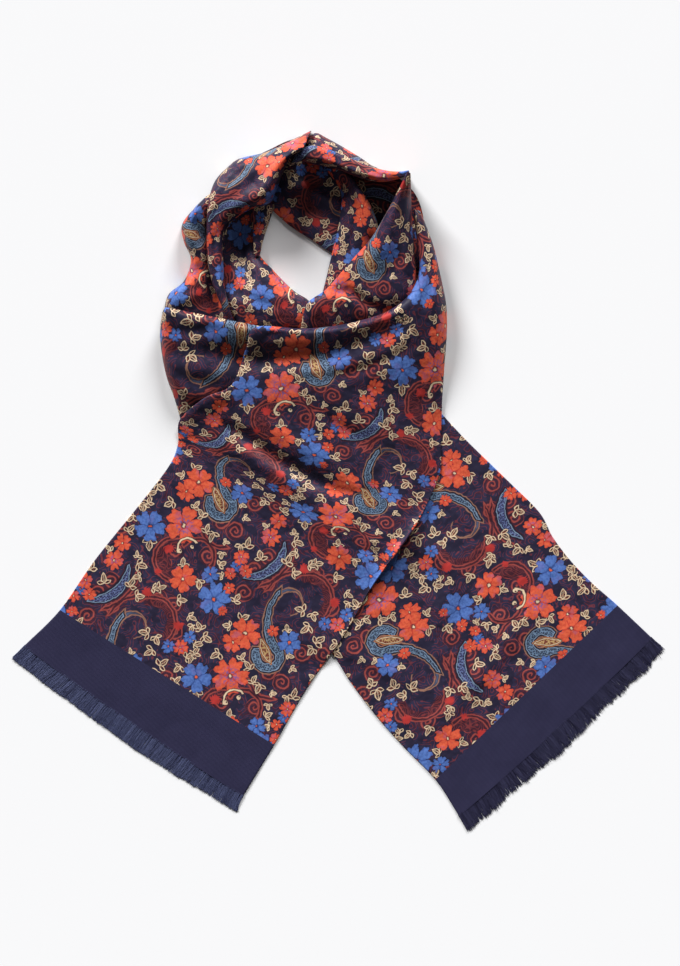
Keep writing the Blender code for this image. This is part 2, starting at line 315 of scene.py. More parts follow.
NAVY = (0.028, 0.025, 0.058)
SHADE = (0.016, 0.013, 0.026)  # what the ground darkens to round the motifs
CORAL = (0.66, 0.112, 0.052)
CORAL_DEEP = (0.46, 0.040, 0.030)
BLUE = (0.088, 0.172, 0.46)
BLUE_DEEP = (0.035, 0.070, 0.25)
VIOLET = (0.15, 0.10, 0.28)
CREAM = (0.70, 0.53, 0.35)
BROWN = (0.15, 0.040, 0.028)
MAROON = (0.21, 0.038, 0.040)
RUST = (0.30, 0.060, 0.052)
WINE = (0.052, 0.015, 0.024)
STEEL = (0.095, 0.15, 0.235)
ICE = (0.19, 0.27, 0.38)
TAN = (0.30, 0.15, 0.10)
RED = (0.40, 0.035, 0.032)
SLATE = (0.07, 0.09, 0.15)
INDIGO = (0.085, 0.105, 0.24)
AMBER = (0.55, 0.20, 0.06)
OCHRE = (0.42, 0.27, 0.12)

PETALS = 5
CORALS = (
    # the coral flowers: across, along, reach of the petals, which way one of them points in degrees
    (18, 63, 16, 10),
    (12, 49, 11, 40),
    (28, 19, 19, 25),
    (56, -27, 14, 20),
    (106, 74, 9, 0),
    (108, 55, 10, 90),
    (105, 13, 7, 40),
    (100, -10, 6, 0),
    (107, -33, 5, 30),
    (40, 80, 6, 60),
    (91, 120, 8, 15),
    (94, 22, 8, 50),
    (93, 3, 6, 80),
)
BLUES = (
    # the blue flowers, likewise
    (0, 0, 16, 18),
    (93, -27, 17, 40),
    (77, -9, 9, 10),
    (60, 79, 12, 90),
    (93, 133, 7, 30),
    (80, 114, 7, 70),
    (95, 13, 6, 10),
)
TINGED = (19.0, 10.0, 8.0)  # reach of the coral flowers that are tinged with violet
LEAVES = (
    # the sprigs: across, along, length, which way the leaf points in degrees
    (8, 75, 10, 60), (-1, 60, 8, 200), (-13, 38, 10, 0), (5, 30, 10, 240), (-14, 21, 9, 100),
    (-15, 13, 8, 290), (9, -15, 11, 300), (-15, -14, 9, 80), (13, -38, 10, 10), (5, -31, 7, 120),
    (15, 147, 10, 100), (17, 157, 8, 220), (28, 141, 9, 30), (42, 160, 9, 40), (110, 33, 10, 130),
    (92, 37, 10, 110), (88, 30, 8, 300), (28, 41, 8, 90), (38, 37, 9, 150), (50, 27, 9, 100),
    (58, 25, 10, 280), (73, 27, 6, 20), (84, 96, 11, 70), (83, 84, 9, 260), (51, 89, 7, 130),
    (67, 100, 10, 250), (53, 113, 10, 200), (66, 114, 9, 320), (67, 68, 7, 10), (77, 58, 7, 0),
    (98, 62, 7, 170), (81, 6, 8, 60), (86, -4, 7, 200), (76, 14, 7, 300), (72, -22, 9, 300),
    (48, -14, 9, 120), (84, 151, 8, 0), (90, 142, 8, 280), (103, 131, 9, 40), (96, 147, 9, 150),
    (102, 116, 9, 60), (66, 160, 9, 30), (-8, 87, 9, 90), (100, 101, 9, 250), (38, -50, 8, 20),
)
SCROLL = 10  # reach of the round scrolls
COIL = 4.6  # from one turn of their line to the next
SCROLLS = (
    # across, along, turn in degrees
    (75, 41, 200), (31, -25, 30), (65, 6, 130), (-5, 97, 300), (46, 149, 60), (63, 152, 250), (95, 88, 20),
    (10, 117, 160), (76, 76, 80), (-8, 122, 330), (117, 36, 100), (34, -8, 240), (76, 130, 60), (58, 42, 150),
)
WREATH = (
    # its arcs: middle across and along, radius, which way it faces and half of its opening in degrees
    (40, -14, 22, 185, 92),
    (56, 0, 17, 85, 88),
    (62, 40, 22, 265, 42),
    (52, 126, 25, 70, 82),
    (47, 113, 34, 150, 30),
    (-27, 143, 45, -10, 32),
)


def copies(u, v, reach):
    """The places of a motif and of its repeats that fall in the tile or within reach of it."""
    for column in range(-2, 3):
        for row in range(-3, 4):
            x, y = u + HALF_ACROSS * column, v + DROP * (column + 2 * row)
            if -reach < x - TILE[0] < HALF_ACROSS + reach and -reach < y - TILE[1] < 2 * DROP + reach:
                yield x, y


def nearest(p, motifs, reach):
    """The motif nearest for its size: how far along and off its direction, how far in sizes, and its size."""
    seat = away = None
    for u, v, big, turn in motifs:
        for x, y in copies(u, v, reach):
            here = (x, y, turn + 1000 * big)
            distance = p.from_point(x, y) / big
            if seat is None:
                seat, away = p.vector("MULTIPLY_ADD", (0, 0, 0), here), distance
                continue
            closer = distance.math("LESS_THAN", away)
            seat = p.node("Mix", {"data_type": "VECTOR"}, {0: closer, 4: seat, 5: here}, 1)
            away = away.math("MINIMUM", distance)
    code = seat.parts()[2]
    size = (code / 1000).math("FLOOR")
    turn = (code - size * 1000).math("RADIANS")
    offset = p.vector("SUBTRACT", seat).vector("MULTIPLY", (1, 1, 0))
    turned = p.node("VectorRotate", {"rotation_type": "Z_AXIS"}, {"Vector": offset, "Angle": turn * -1})
    u, v, _ = turned.parts()
    return u, v, away, size


def turned_to(p, u, v, turn):
    """The point in the directions of something at u, v that is turned by an angle in degrees."""
    offset = p.vector("SUBTRACT", (u, v, 0))
    turned = p.node(
        "VectorRotate", {"rotation_type": "Z_AXIS"}, {"Vector": offset, "Angle": np.radians(-turn)}
    )
    return turned.parts()[:2]


def flowers(p, motifs):
    """The nearest flower: how far past its outline in mm, how far off a gap between petals in mm, how far
    out in sizes, and its size."""
    u, v, away, size = nearest(p, motifs, 18)
    share = np.pi / PETALS
    angle = abs(v.math("ARCTAN2", u).math("WRAP", share, -share))
    cleft = (angle / share - 0.42).most(0.0)
    notch = (1.0 - angle * (PETALS * 1.1)).most(0.0)
    reach = 0.98 - cleft * cleft * 1.5 - notch * 0.14
    return (away - reach) * size, away * (share - angle).math("SINE") * size, away, size


def arc(p, u, v, radius, facing, half):
    """Distance to an arc, from half an opening on one side of the way it faces to half on the other."""
    out = np.radians(facing)
    ahead = (np.cos(out), np.sin(out), 0)
    ring = abs(p.from_point(u, v) - radius)
    chord = u * ahead[0] + v * ahead[1] + radius * np.cos(np.radians(half))
    return ring.most(chord - p.vector("DOT_PRODUCT", ahead, output=1))


def leaf(x, y, middle, long, wide):
    """Distance past the edge of a pointed leaf that lies along x."""
    along = (x - middle) / long
    return abs(y) - (1 - along * along) * wide


def plain(p, colour):
    """One colour all over."""
    made = p.node("RGB", {}, {})
    made.socket.default_value = (*colour, 1)
    return made


def begun(name, chart):
    """A new material, and where each point lies on one of the piece's charts."""
    material = bpy.data.materials.new(name)
    material.use_nodes = True
    place_on = material.node_tree.nodes.new("ShaderNodeUVMap")
    place_on.uv_map = chart
    return material, Wire(material.node_tree, place_on.outputs[0])


def finished(material, colour, roughness, gloss, relief=None):
    """The material with its colour, its sheen and, if it has one, its relief."""
    shader = material.node_tree.nodes["Principled BSDF"]
    material.node_tree.links.new(colour.socket, shader.inputs["Base Color"])
    if relief:
        material.node_tree.links.new(relief.socket, shader.inputs["Normal"])
    shader.inputs["Roughness"].default_value = roughness
    shader.inputs["Specular IOR Level"].default_value = gloss
    return material


def printed_silk():
    """Twill with the print over its whole chart, drawn with a slightly unsteady hand."""
    material, flat = begun("printed silk twill", "cloth")
    hand = flat.node("TexNoise", {}, {"Vector": flat, "Scale": 0.14, "Detail": 3.0}, 1)
    drawn = hand.vector("SUBTRACT", (0.5, 0.5, 0.5)).vector("MULTIPLY_ADD", (4, 4, 0), flat)
    u, v, _ = drawn.parts()
    column = ((u - TILE[0]) / HALF_ACROSS).math("FLOOR")
    dropped = u.node("CombineXYZ", {}, {0: u, 1: v - column * DROP})
    p = dropped.vector("WRAP", (TILE[0] + HALF_ACROSS, TILE[1] + 2 * DROP, 1), (*TILE, 0))
    _, v, _ = p.parts()
    speck = flat.node("TexVoronoi", {"voronoi_dimensions": "2D"}, {"Vector": flat, "Scale": 0.55})
    two = {"noise_dimensions": "2D"}
    blotch = flat.node("TexNoise", two, {"Vector": flat, "Scale": 0.42})
    cloud = flat.node("TexNoise", two, {"Vector": flat, "Scale": 0.075, "Detail": 3.0})
    rough = flat.node("TexNoise", {}, {"Vector": flat, "Scale": 0.3, "Detail": 1.0}, 1)
    ragged = rough.vector("SUBTRACT", (0.5, 0.5, 0.5)).vector("MULTIPLY_ADD", (3.4, 3.4, 0), p)
    vine = flat.node("TexNoise", two, {"Vector": drawn, "Scale": 0.085, "Detail": 0.0})
    lace = (vine * 8).math("PINGPONG", 0.5)
    tendril = (vine * 6).math("PINGPONG", 0.5)

    # The ground: navy clouded with black and wine, with tendrils wandering over it.
    colour = plain(flat, NAVY).under((cloud - 0.5).inside(-0.02, 0.08) * 0.6, SHADE)
    colour = colour.under((0.60 - cloud).inside(0.0, 0.08) * blotch.inside(0.52, 0.1) * 0.7, WINE)
    colour = colour.under(tendril.inside(0.09, 0.08) * (0.46 - cloud).inside(0.0, 0.05) * 0.6, MAROON)

    # The wreath and the scrolls that it ends in: two lines with a darker band between, and lace inside it.
    x, y, away, _ = nearest(p, [(u, v, SCROLL, turn) for u, v, turn in SCROLLS], SCROLL)
    coil = (away * SCROLL - y.math("ARCTAN2", x) * (COIL / (2 * np.pi))).math("WRAP", COIL / 2, -COIL / 2)
    colour = colour.under((away * SCROLL - 9.5).inside(0.0, 1.5) * 0.6, WINE)
    colour = colour.under(abs(coil).most(away * SCROLL - 8.5).inside(0.8), RUST)
    arcs = [arc(p, *bend) for bend in WREATH]
    wreath = arcs[0].least(*arcs[1:])
    inlay = (p.from_point(40, -14) - 21).most(15.5 - p.from_point(47, -9))
    inlay = inlay.least(abs(arc(p, 52, 126, 20, 60, 70)) - 4, arc(p, 20, 146, 3, 0, 180) - 3)
    colour = colour.under(inlay.inside(0.0, 1.0) * 0.8, WINE)
    colour = colour.under(inlay.inside(0.0) * lace.inside(0.13, 0.12) * 0.7, MAROON)
    colour = colour.under((wreath - 2.6).inside(0.0, 1.0) * 0.9, WINE)
    colour = colour.under(abs(wreath - 1.7).inside(0.65, 0.9), RUST)
    heart = p.from_point(28, -9)
    heart = heart.least(p.from_point(77, 137), p.from_point(33, 149), p.from_point(31, -34) + 1.5)
    colour = colour.under((heart + lace * 4).inside(5.6, 1.2), RED)

    # The paisleys: a long curled one, open at its foot, and a short feather beside it.
    curl = arc(p, 39, 113, 13, 65, 118) + p.from_point(27, 118) * 0.1 - 0.6
    limb = arc(p, 69, 108, 45, 211, 40).least(arc(p, 49, 56, 12, -55, 112))
    body = limb - ((115 - v) / 55).math("MULTIPLY", 2.6).math("MINIMUM", 2.6).most(0.0) - 1.4
    feather = arc(p, -27, 143, 35, -15, 46) + ((v - 132) / 28).math("POWER", 2.0) * 3.4 - 4.6
    colour = colour.under(abs(curl - 1.9).inside(0.55, 0.9), TAN)
    colour = colour.under(curl.inside(0.7, 0.9), SLATE)
    for form, inside, line in ((body, STEEL, TAN), (feather, INDIGO, WINE)):
        colour = colour.under((form - 2.4).inside(0.0), line)
        colour = colour.under((form - 1.5).inside(0.0), SHADE)
        colour = colour.under(form.inside(0.0), ICE)
        silk = plain(flat, SHADE).under((form + 1.4).inside(0.0, 0.5), inside)
        silk = silk.under(speck.inside(0.34, 0.2) * 0.9, SHADE)
        silk = silk.under((0.62 - speck).inside(0.0, 0.1) * 0.5, ICE)
        colour = colour.under((form + 0.8).inside(0.0, 0.4), silk)
    seam = leaf(*turned_to(p, 44, 59, -36), 0, 15, 4.6)
    colour = colour.under((seam - 0.6).inside(0.0), AMBER)
    colour = colour.under(seam.inside(0.0), SHADE)
    colour = colour.under((seam + 0.8).inside(0.0), CREAM)
    colour = colour.under((seam + 1.5).inside(0.0), BROWN)
    colour = colour.under((seam + 1.9).inside(0.0) * blotch.inside(0.5, 0.05), OCHRE)

    # Sprigs of cream leaves with brown insides: a long leaf, and a short one to each side of its foot.
    x, y, away, size = nearest(p, LEAVES, 12)
    y = abs(y)
    x = x + size * 0.35
    blade = leaf(x, y, size * 0.52, size * 0.56, size * 0.29)
    side = leaf(x * 0.34 + y * 0.94, y * 0.34 - x * 0.94, size * 0.36, size * 0.37, size * 0.21)
    sprig = blade.least(side)
    colour = colour.under((sprig - 1.0).inside(0.0, 1.6) * 0.6, SHADE)
    colour = colour.under(sprig.inside(0.0, 0.7), CREAM)
    brown = plain(flat, SHADE).under(blotch.inside(0.5, 0.1), BROWN)
    colour = colour.under((sprig + 0.9).inside(0.0, 0.5), brown)
    vein = y.inside(0.3, 0.5).most((x + y).math("PINGPONG", 1.8).inside(0.2, 0.4) * 0.6)
    colour = colour.under((blade + 0.9).inside(0.0, 0.5) * vein * 0.8, CREAM)

    # The flowers, blue ones under coral ones.
    for motifs, light, deep, eye in ((BLUES, BLUE, BLUE_DEEP, CORAL), (CORALS, CORAL, CORAL_DEEP, CREAM)):
        edge, gap, away, size = flowers(ragged, motifs)
        petal = plain(flat, light).under(blotch.inside(0.47, 0.25) * 0.5, deep)
        petal = petal.under((edge + 1.2).inside(0.0, 2.5) * -0.5 + 0.5, deep)
        petal = petal.under((0.62 - cloud).inside(0.0, 0.1) * 0.3, VIOLET)
        if motifs is CORALS:
            tinged = [size.math("COMPARE", reach, 0.5) for reach in TINGED]
            tinged = tinged[0].most(*tinged[1:])
            petal = petal.under(away.inside(0.45, 0.3) * blotch.inside(0.48, 0.08) * tinged * 0.8, VIOLET)
        petal = petal.under(gap.inside(0.6, 1.0) * away.inside(0.75, 0.3) * 0.9, deep)
        petal = petal.under(away.inside(0.16, 0.1) * 0.8, SHADE)
        petal = petal.under(away.inside(0.08, 0.05), eye)
        colour = colour.under((edge - 1.0).inside(0.0, 1.8) * 0.6, SHADE)
        colour = colour.under(edge.inside(0.0), petal)

    # A cream hook in the wreath.
    hook = arc(p, 44, 1, 10.5, 150, 80) - 0.9
    hook = hook.least(p.from_point(38.5, -5.5) - 2.4, p.from_point(47, 5) - 2.0)
    hook = hook.most(1.0 - p.from_point(39, -4.5), 0.8 - p.from_point(47, 6))
    colour = colour.under((hook - 0.8).inside(0.0), SHADE)
    colour = colour.under(hook.inside(0.0), CREAM)

    wrinkle = flat.node("TexNoise", two, {"Vector": flat, "Scale": 0.055, "Detail": 2.0})
    bump = flat.node("Bump", {}, {"Height": wrinkle, "Strength": 0.5, "Distance": 0.003})
    return finished(material, colour, roughness=0.46, gloss=0.12, relief=bump)


RIGHT_STRIP = (
    # left x, y, height, turn; right x, y, height, turn; rise
    (121, -336, 1.5, 0, 314, -158, 1.5, 0, 0),  # end of the band
    (97, -299, 1.5, 0, 279, -125, 1.5, 0, 0),  # start of the print
    (63, -264, 1.5, 0, 254, -103, 1.5, 0, 0),
    (35, -232, 1.5, 0, 232, -80, 1.5, 0, 0),
    (11, -200, 1.5, 0, 214, -56, 1.5, 0, 0),
    (-5, -175, 1.5, 0, 201, -32, 1.5, 0, 0),
    (-38, -138, 1.5, 0, 169, 0, 1.5, 0, 0),
    (-74, -102, 1.5, 0, 128, 40, 1.5, 0, 0),
    (-110, -60, 1.5, 0, 102, 68, 1.5, 0, 0),
    (-155, 10, 1.5, 0, 79, 92, 1.5, 0, 0),
)

RIGHT_CREASES = (
    # depth, width, points that the crease runs through
    (1.6, 9, (60, -230), (95, -180), (150, -120), (170, -60)),
    (-2.2, 10, (90, -250), (140, -200), (200, -120)),
    (-3.0, 11, (66, -40), (92, -66), (110, -104), (100, -150)),
    (-1.6, 9, (-20, -150), (20, -176), (60, -196), (96, -214)),
    (1.0, 7, (-20, -110), (20, -130), (60, -150), (110, -170)),
    (1.4, 8, (120, -20), (150, -45), (175, -80), (185, -110)),
    (-1.0, 8, (40, -60), (90, -70), (130, -100)),
)
END_BOW = 6.0  # how far the middle of a fringed end bows out


def bowed(top, rows_in):
    """A strip with the middle of its end bowed out, less and less over its first rows."""
    out = top[0, :, :2] - top[rows_in, :, :2]
    out /= np.linalg.norm(out, axis=1, keepdims=True)
    t = np.linspace(0, 1, top.shape[1])[:, None]
    for row in range(rows_in):
        top[row, :, :2] += out * 4 * t * (1 - t) * END_BOW / 2 * (1 - row / rows_in)
    return top


def dress(piece, nodes):
    """Places a piece in the frame, and hides the solids that it dresses."""
    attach(piece, "root")
    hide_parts(*nodes)


silk = printed_silk()
seam = along(RIGHT_STRIP, 1)
right_top = settle(bowed(stretch(RIGHT_STRIP, RIGHT_CREASES), seam))
right_print = printed(right_top, at=(41.7, -120), motif=(28, 19), turn=-142.8, scale=(0.96, 1.06))
right_tail = sheet_of("right_tail_silk", right_top[seam:], right_print[seam:], silk)

# ------------------------------
# The right end. The plain band is a finely ribbed weave in navy, and its last threads are left long, as a
# short fringe, thick and ragged on this end.


RIB = (0.017, 0.016, 0.045)
GROOVE = (0.044, 0.041, 0.090)
FADED = (0.014, 0.013, 0.034)
DARK_FRINGE = ((0.012, 0.011, 0.032), (0.044, 0.043, 0.096))  # the colours that its threads lie between
THREAD = (0.0, 0.34, 0.68, 1.0)  # shares of a thread's length at which it bends
ROOTED = 1.5  # how far back into the band a thread starts
LOWEST = 0.1


def ribbed_band():
    """Navy silk with fine ribs both ways."""
    material, flat = begun("plain navy band", "cloth")
    u, v, _ = flat.parts()
    rib = ((u + v) / 1.5).math("PINGPONG", 0.5)
    knot = rib * ((u - v) / 1.7).math("PINGPONG", 0.5) * 4
    cloud = flat.node("TexNoise", {"noise_dimensions": "2D"}, {"Vector": flat, "Scale": 0.05})
    colour = plain(flat, RIB).under((0.35 - knot).inside(0.0, 0.6), GROOVE)
    colour = colour.under(cloud.inside(0.5, 0.4) * 0.25, FADED)
    bump = flat.node("Bump", {}, {"Height": knot, "Strength": 0.5, "Distance": 0.0003})
    return finished(material, colour, roughness=0.5, gloss=0.14, relief=bump)


def fringe_silk(name, colour, pale):
    """Threads between one colour and a paler one."""
    material, thread = begun(name, "thread")
    mixed = plain(thread, colour).under(thread.parts()[0], pale)
    return finished(material, mixed, roughness=0.6, gloss=0.2)


def fringe(name, end, inner, finish, reach, thick, count, ragged, clump, seed):
    """Threads from the points of an end, away from those of a row inside it, unevenly long in clumps."""
    draw = np.random.default_rng(seed)
    at = np.sort(draw.uniform(0, len(end) - 1.001, count))
    row, share = at.astype(int), (at % 1)[:, None]
    root = end[row] * (1 - share) + end[row + 1] * share
    out = end - inner
    out = out[row] * (1 - share) + out[row + 1] * share
    out[:, 2] = 0
    out /= np.linalg.norm(out, axis=1, keepdims=True)
    side = np.column_stack([-out[:, 1], out[:, 0], np.zeros(count)])
    t = at / (len(end) - 1)
    tuft = np.sin(at / clump) + 0.6 * np.sin(at / clump * 2.7 + 1) + 0.4 * np.sin(at / clump * 6.1 + 2)
    far = reach + END_BOW / 2 * 4 * t * (1 - t) + ragged * (0.8 * tuft + draw.normal(0, 1, count))
    lean = 0.10 * np.cos(at / clump + 0.5) + draw.normal(0, 0.05 + ragged / 60, count)
    rise = draw.uniform(0.3, 1.4, count)
    rings = []
    for s in THREAD:
        middle = root + out * (far * s - ROOTED)[:, None] + side * (far * lean * s * s)[:, None]
        middle[:, 2] = rise * (1 - s) + (0.25 + draw.uniform(0, 0.9, count)) * s
        half = thick / 2 * (1 - 0.55 * s)
        up = np.array((0, 0, half))
        rings.append([middle + side * half, middle + up, middle - side * half, middle - up])
    points = np.array(rings).transpose(2, 0, 1, 3).reshape(-1, 3)
    n = len(THREAD)
    one = [(3, 2, 1, 0), (4 * n - 4, 4 * n - 3, 4 * n - 2, 4 * n - 1)]
    for r in range(0, 4 * (n - 1), 4):
        one += [(r + c, r + (c + 1) % 4, r + 4 + (c + 1) % 4, r + 4 + c) for c in range(4)]
    faces = np.array(one)[None] + 4 * n * np.arange(count)[:, None, None]
    mesh = bpy.data.meshes.new(name)
    points[:, 2] = np.maximum(points[:, 2], LOWEST)
    mesh.from_pydata(points * MM, [], faces.reshape(-1, 4).tolist())
    mesh.materials.append(finish)
    shade = 0.45 + 0.25 * np.sin(at * 9 / clump) * np.sin(at * 2.3 / clump) + draw.normal(0, 0.25, count)
    shade = np.column_stack([np.repeat(np.clip(shade, 0, 1), 4 * n), np.tile(np.repeat(THREAD, 4), count)])
    charted(mesh, "thread", shade)
    piece = bpy.data.objects.new(name, mesh)
    bpy.context.scene.collection.objects.link(piece)
    return piece


navy = ribbed_band()
right_band = sheet_of("right_band_silk", right_top[: seam + 1], right_print[: seam + 1], navy)
right_fringe = fringe(
    "right_fringe_threads", right_top[0], right_top[3], fringe_silk("dark fringe", *DARK_FRINGE),
    reach=15.5, thick=0.85, count=2400, ragged=1.5, clump=7.0, seed=3,
)
dress(right_fringe, ["right_fringe"])
dress(right_band, ["right_band"])
dress(
    right_tail, ["right_tail"],
)

# ------------------------------
# The layers that nothing shows, rolled together under the neck loop. They are the same double cloth, folded
# lengthwise, and only their edges are seen, deep between the stretches that lie on them.

BUNDLE = (
    # the middle of the roll (x, y), half of its width and its height, on round the loop
    (-38, 102, 42, 8),
    (-103, 125, 42, 7),
    (-126, 170, 30, 3),
    (-125, 218, 16, 2.5),
    (-114, 258, 18, 3),
    (-89, 294, 21, 2.5),
    (-55, 317, 18, 2),
    (-38, 321.5, 20.5, 2),
    (-18, 321, 20.3, 2),
    (20, 300, 19.5, 2),
    (51, 272, 29.5, 2),
    (66, 235, 23, 3),
    (67, 185, 30, 6),
    (32, 135, 42, 8),
)


def bundle(name, finish, steps=12, cells=36, layers=4):
    """A flat-bottomed ring of rounded section, with the edges of its folded layers showing round it."""
    ring = np.array(BUNDLE, float)
    ring = through(np.vstack([ring, ring, ring]), steps)[len(ring) * steps : 2 * len(ring) * steps]
    ahead = np.roll(ring[:, :2], -1, axis=0) - np.roll(ring[:, :2], 1, axis=0)
    side = np.column_stack([ahead[:, 1], -ahead[:, 0]]) / np.linalg.norm(ahead, axis=1)[:, None]
    turn = np.pi * np.arange(cells + 1) / cells
    fold = 1 - 0.06 * np.abs(np.sin(layers * turn)) ** 0.5 * (np.sin(turn) > 1e-6)
    thin = np.where(turn < np.pi / 2, 4, 1)  # the outer side thins to a flat rim
    q, up = -np.cos(turn) * fold, np.sin(turn) ** thin * fold
    flat = ring[:, None, :2] + side[:, None] * q[None, :, None] * ring[:, None, 2:3]
    top = np.dstack([flat, ring[:, 3:] * up + 0.2])
    top = np.concatenate([top, top[:1]])
    np.maximum.at(laid, place(filled(top)), filled(top)[..., 2])
    chart = printed(top, at=(46, 280), motif=(-2, 126), turn=100)
    n, m = len(ring), cells + 1
    loop = [(i, (i + 1) % n) for i in range(n)]
    faces = [(i * m + j, i * m + j + 1, k * m + j + 1, k * m + j) for i, k in loop for j in range(cells)]
    faces += [(i * m, k * m, k * m + cells, i * m + cells) for i, k in loop]
    mesh = bpy.data.meshes.new(name)
    mesh.from_pydata(top[:-1].reshape(-1, 3) * MM, [], faces)
    charted(mesh, "cloth", chart[:-1])
    mesh.materials.append(finish)
    piece = bpy.data.objects.new(name, mesh)
    bpy.context.scene.collection.objects.link(piece)
    bpy.context.view_layer.objects.active = piece
    piece.select_set(True)
    bpy.ops.object.mode_set(mode="EDIT")
    bpy.ops.mesh.select_all(action="SELECT")
    bpy.ops.mesh.normals_make_consistent(inside=False)
    bpy.ops.object.mode_set(mode="OBJECT")
    bpy.ops.object.shade_smooth_by_angle(angle=np.radians(SHARPEST))
    piece.select_set(False)
    return piece


hidden = bundle("hidden_layers_silk", silk)
dress(hidden, ["hidden_layers"])

# ------------------------------
# The far side of the loop, seen through the neck opening. It is the inside of the strip where it lies
# behind the neck, and it sinks into shade under the collar, with one soft ridge along it.


def lay(node, rows, creases, flat, area, on, **seat):
    """Lays a stretch of printed cloth on those before it, its print seated as told, and dresses its solid."""
    top = settle(stretch(rows, creases))
    piece = sheet_of(node + "_silk", top, printed(top, **seat), silk)
    dress(piece, [node])


BACK_INSIDE = (
    # left x, y, height, turn; right x, y, height, turn; rise
    (-64, 302, 3, 0, -66, 270, 3, 1, 0),
    (-46, 325, 4, 0, -48, 254, 5, 3, 0),
    (-26, 322, 4, 0, -28, 241, 5, 3, 1),
    (-3, 310, 4, 0, -6, 227, 5, 3, 1),
    (14, 297, 3, 0, 7, 230, 3, 1, 0),
)
lay(
    "back_inside",
    BACK_INSIDE,
    creases=(
        (2.0, 6, (-72, 284), (-50, 279), (-28, 272), (-8, 262), (8, 254)),
        (-5.0, 7, (-56, 296), (-34, 290), (-14, 280), (2, 266)),
    ),
    at=(-26, 280), motif=(58, 140), turn=120, scale=(1.1, 1.1),
    flat=(0.06, 0.1), area=0.0056, on="hidden_layers_silk",
)

# ------------------------------
# The cowl at the left of the neck opening. The strip's inner edge falls forward here into a low rounded
# fold, with a trough where the cloth doubles back towards the neck.

INNER_LEFT_COWL = (
    (-91, 273, 12, 0, -81, 276, 12, 0, 0),
    (-110, 253, 6, 0, -81, 257, 10, 0, -3),
    (-117, 230, 5, 0, -81, 230, 8, 5, -1),
    (-117, 208, 6, 0, -64, 209, 10, 8, 4),
    (-115, 190, 9, 0, -44, 189, 12, 10, 8),
    (-110, 174, 12, 0, -29, 179, 14, 11, 7),
    (-102, 158, 10, 0, -22, 162, 14, 4, 5),
    (-96, 142, 6, 0, -20, 142, 8, 0, 2),
)
lay(
    "inner_left_cowl",
    INNER_LEFT_COWL,
    creases=(
        (4.5, 6, (-96, 262), (-97, 235), (-93, 212), (-88, 186)),
        (-2.5, 6, (-85, 222), (-76, 206), (-66, 196)),
        (2.0, 5, (-110, 200), (-95, 185), (-75, 176), (-50, 172)),
    ),
    at=(-76, 182), motif=(0, 0), turn=0, scale=(1.25, 1.2),
    flat=(0.085, 0.13), area=0.0082, on="hidden_layers_silk",
)

# ------------------------------
# The narrow ridge along the top of the cowl. It is the edge of the collar's cloth, pinched upright where
# the folds at the left part from one another.

INNER_LEFT_RIDGE = (
    (-84, 292, 18, 4, -68, 289, 12, 4, 1),
    (-86, 277, 19, 6, -65, 272, 8, 6, 1),
    (-85, 265, 19, 6, -68, 260, 7, 5, 1),
    (-85, 245, 16, 5, -74, 242, 6, 4, 1),
    (-84, 224, 12, 4, -78, 224, 5, 3, 0),
)
lay(
    "inner_left_ridge",
    INNER_LEFT_RIDGE,
    creases=(
        (2.5, 2.5, (-80, 285), (-77, 262), (-80, 240)),
    ),
    at=(-60, 262), motif=(-5, 30), turn=0, scale=(1.2, 1.2),
    flat=(0.03, 0.055), area=0.0015, on="inner_left_cowl_silk",
)

# ------------------------------
# The strand at the right of the neck opening. It is the strip's inner layer, which comes down from under
# the back of the loop and widens towards the front.

INNER_RIGHT_STRAND = (
    (-13, 311, 10, 0, 7, 308, 24, 2, 1),
    (2, 290, 9, 2, 21, 292, 30, 10, 2),
    (3, 272, 7, 3, 34, 271, 30, 14, 3),
    (0, 252, 7, 4, 40, 252, 26, 12, 3),
    (-6, 227, 8, 6, 40, 230, 12, 2, 4),
    (-11, 205, 8, 6, 24, 205, 8, 0, 4),
    (-16, 185, 6, 4, 7, 185, 6, 0, 2),
)
lay(
    "inner_right_strand",
    INNER_RIGHT_STRAND,
    creases=(
        (2.0, 4, (12, 296), (18, 272), (16, 248), (8, 222)),
        (-1.5, 4, (22, 290), (30, 268), (30, 246)),
    ),
    at=(26, 268), motif=(17, 58), turn=6, scale=(1.3, 1.2),
    flat=(0.045, 0.125), area=0.005, on="hidden_layers_silk",
)

# ------------------------------
# The outer folds up the left of the neck. The pleated strip puffs out, draws in to a waist and puffs out
# again, and its outer edge drops to the table.

LEFT_NECK = (
    (-135, 280, 14, 8, -123, 289, 8, 1, 1),
    (-145, 270, 24, 20, -126, 272, 14, 2, 3),
    (-156, 255, 24, 21, -128, 254, 13, 2, 4),
    (-154, 238, 20, 17, -128, 237, 12, 2, 3),
    (-147, 220, 17, 14, -127, 220, 12, 2, 2),
    (-154, 199, 20, 17, -124, 201, 9, 2, 3),
    (-169, 186, 23, 20, -119, 183, 3, 0, 5),
    (-173, 171, 21, 18, -112, 168, 2, 0, 4),
    (-169, 156, 14, 11, -106, 150, 2, 0, 2),
)
lay(
    "left_neck",
    LEFT_NECK,
    creases=(
        (2.5, 5, (-150, 262), (-140, 250), (-130, 236)),
        (-2.0, 5, (-153, 250), (-144, 236), (-134, 224)),
        (2.5, 6, (-160, 200), (-146, 206), (-132, 214)),
        (-2.0, 5, (-162, 178), (-146, 182), (-130, 188)),
    ),
    at=(-162, 186), motif=(0, 0), turn=22, scale=(1.25, 1.2),
    flat=(0.06, 0.125), area=0.0068, on="hidden_layers_silk",
)

# ------------------------------
# The thin outer strip of the back, at the right. It is the outer layer of the loop, and stands nearly
# upright from the table to the band above it.

